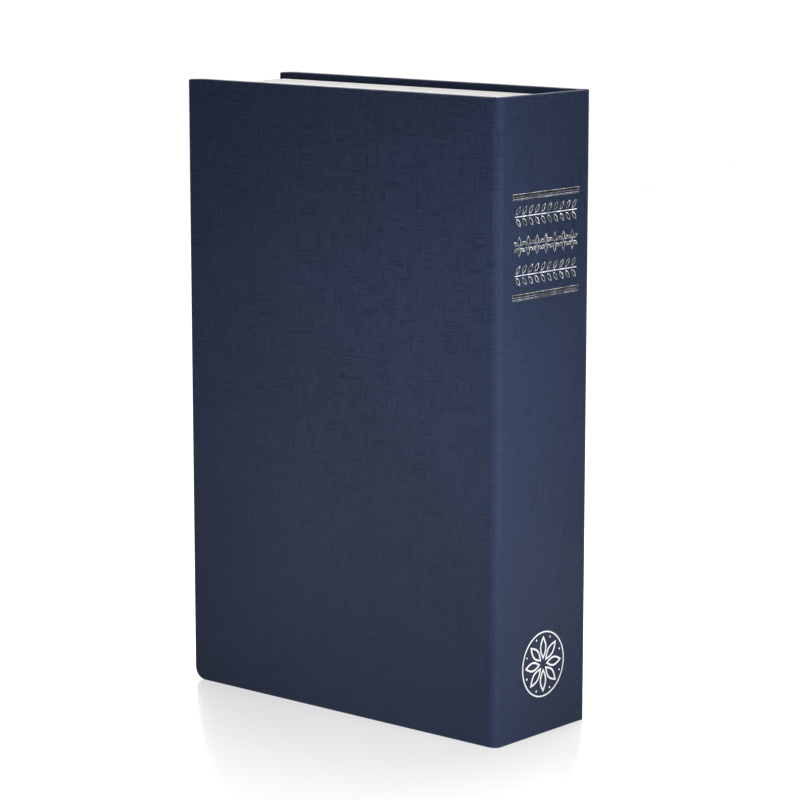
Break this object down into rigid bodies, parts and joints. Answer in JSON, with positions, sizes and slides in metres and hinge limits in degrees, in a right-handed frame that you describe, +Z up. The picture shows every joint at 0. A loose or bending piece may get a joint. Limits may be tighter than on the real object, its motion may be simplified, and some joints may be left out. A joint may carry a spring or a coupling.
{
  "type": "book diversion safe",
  "caption": "Navy hardback book that hides a locking steel box: the front cover opens on a plastic page frame and a hinged steel lid with a cam lock.",
  "frame": {"origin": "middle of the footprint on the surface that the book stands on", "axes": "+Z up along the spine, +X towards the spine, +Y towards the front cover, which opens"},
  "size_m": [0.155, 0.055, 0.24],
  "materials": {
    "navy_covering": "satin",
    "grey_board": "matte",
    "endpaper": "matte",
    "page_plastic": "satin",
    "black_steel": "satin",
    "plated_steel": "satin",
    "lock_chrome": "polished",
    "lock_brass": "satin"
  },
  "bodies": {
    "book_body": {"back_cover_board": "grey_board", "spine_board": "grey_board", "wrap_back_and_spine": "navy_covering", "wrap_front_joint": "navy_covering", "back_endpaper": "endpaper", "page_frame": "page_plastic", "box_tray": "black_steel", "strike_plate": "plated_steel", "hinge_leaf_tray": "plated_steel", "hinge_pin": "plated_steel", "hinge_rivet_tray_1": "plated_steel", "hinge_rivet_tray_2": "plated_steel", "hinge_rivet_tray_3": "plated_steel", "tray_screw_1": "plated_steel", "tray_screw_2": "plated_steel", "tray_screw_3": "plated_steel", "tray_screw_4": "plated_steel", "tray_washer_1": "plated_steel", "tray_washer_2": "plated_steel", "tray_washer_3": "plated_steel", "tray_washer_4": "plated_steel"},
    "front_cover": {"front_cover_board": "grey_board", "wrap_front": "navy_covering", "front_endpaper": "endpaper"},
    "steel_lid": {"box_lid": "black_steel", "hinge_leaf_lid": "plated_steel", "hinge_rivet_lid_1": "plated_steel", "hinge_rivet_lid_2": "plated_steel", "hinge_rivet_lid_3": "plated_steel", "lock_housing": "lock_chrome", "lock_washer": "plated_steel", "lock_nut": "plated_steel"},
    "lock_core": {"lock_plug": "lock_brass", "lock_wafer_1": "lock_brass", "lock_wafer_2": "lock_brass", "lock_wafer_3": "lock_brass", "lock_wafer_4": "lock_brass", "lock_wafer_5": "lock_brass", "lock_cam": "plated_steel", "cam_washer": "plated_steel", "cam_screw": "plated_steel"}
  },
  "joints": [
    {"name": "cover_hinge", "type": "hinge", "parent": "book_body", "child": "front_cover", "pos_m": [0.0769, 0.0266, 0.12], "axis": [0, 0, -1], "range_deg": [0, 180], "deforming": ["wrap_front_joint"]},
    {"name": "lid_hinge", "type": "hinge", "parent": "book_body", "child": "steel_lid", "pos_m": [0.05645, 0.02235, 0.12], "axis": [0, 0, -1], "range_deg": [0, 108]},
    {"name": "lock_turn", "type": "hinge", "parent": "steel_lid", "child": "lock_core", "pos_m": [-0.04203, 0.022, 0.12], "axis": [0, 1, 0], "range_deg": [0, 90]}
  ],
  "couplings": [
    {"joint": "lid_hinge", "follows": "cover_hinge", "ratio": 0.6}
  ]
}
